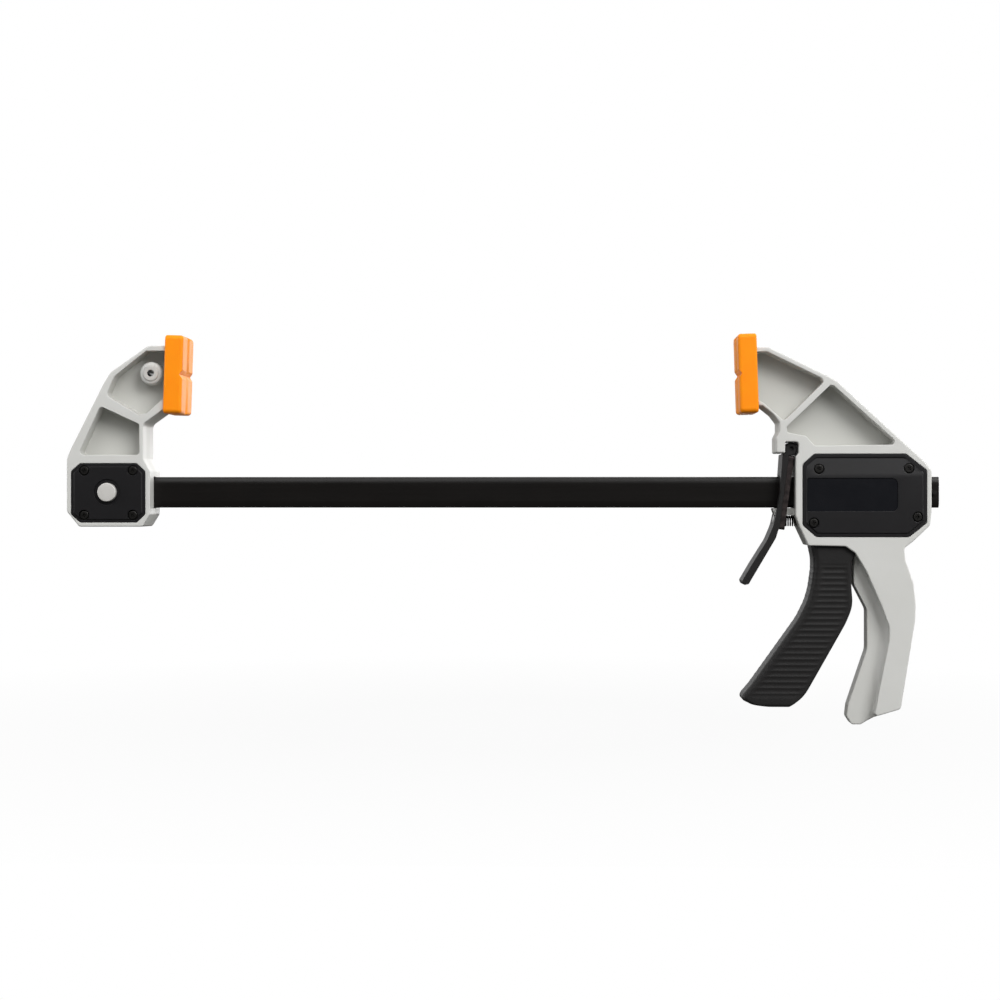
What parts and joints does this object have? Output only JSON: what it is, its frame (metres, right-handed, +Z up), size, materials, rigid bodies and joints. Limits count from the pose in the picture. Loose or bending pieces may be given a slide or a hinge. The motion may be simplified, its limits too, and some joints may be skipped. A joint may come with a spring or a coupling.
{
  "type": "one-handed bar clamp",
  "caption": "One-handed trigger bar clamp with a push-button fixed jaw, a ratchetless moving jaw on a flat steel bar, a squeeze trigger, a release lever and soft pads.",
  "frame": {"origin": "on the bar's centreline, under the middle of the fixed pad's clamping face", "axes": "+X along the bar towards the handle, +Z up from the bar towards the pads, +Y across the clamp, away from the covers"},
  "size_m": [0.4879, 0.0335, 0.2175],
  "materials": {
    "bar_steel": "black oxide, oiled",
    "bright_steel": "ground",
    "black_steel": "phosphated",
    "spring_steel": "drawn wire",
    "grey_nylon": "moulded, fine texture",
    "black_cover": "moulded satin",
    "black_trigger": "moulded, ribbed",
    "button_plastic": "moulded satin",
    "orange_pad": "soft, matt"
  },
  "bodies": {
    "frame": {"bar": "bar_steel", "bar_stop_pin": "bright_steel", "fixed_jaw": "grey_nylon", "fixed_jaw_cover": "black_cover", "fixed_jaw_screws": "black_steel", "lock_spring": "spring_steel", "hang_hole_bush": "button_plastic", "fixed_pad": "orange_pad"},
    "lock_button": {"lock_button": "button_plastic", "lock_pin": "bright_steel"},
    "moving_jaw": {"moving_jaw": "grey_nylon", "housing_cover": "black_cover", "housing_screws": "black_steel", "trigger_pin": "bright_steel", "drive_spring": "spring_steel", "release_spring": "spring_steel", "moving_pad": "orange_pad"},
    "trigger": {"trigger": "black_trigger"},
    "drive": {"drive_plates": "bright_steel", "spring_washer": "bright_steel"},
    "release_lever": {"release_lever": "black_trigger", "brake_plate": "black_steel", "brake_rivet": "bright_steel"}
  },
  "joints": [
    {"name": "lock_button_press", "type": "slide", "parent": "frame", "child": "lock_button", "axis": [0, 1, 0], "range_m": [0, 0.003], "stiffness_N_per_m": 300, "springref_m": -0.004, "deforming": ["lock_spring"]},
    {"name": "moving_jaw_slide", "type": "slide", "parent": "frame", "child": "moving_jaw", "axis": [-1, 0, 0], "range_m": [0, 0.308]},
    {"name": "trigger_pull", "type": "hinge", "parent": "moving_jaw", "child": "trigger", "pos_m": [0.371, 0, -0.0133], "axis": [0, -1, 0], "range_deg": [0, 15], "stiffness_Nm_per_rad": 0.6, "springref_deg": -22.92},
    {"name": "drive_slide", "type": "slide", "parent": "moving_jaw", "child": "drive", "axis": [1, 0, 0], "range_m": [0, 0.0029], "deforming": ["drive_spring"]},
    {"name": "release_lever_pull", "type": "hinge", "parent": "moving_jaw", "child": "release_lever", "pos_m": [0.3394, 0, 0.0242], "axis": [0, -1, 0], "range_deg": [0, 4], "stiffness_Nm_per_rad": 0.5, "springref_deg": -22.92, "deforming": ["release_spring"]}
  ],
  "couplings": [
    {"joint": "drive_slide", "follows": "trigger_pull", "m_per_rad": 0.0106}
  ]
}
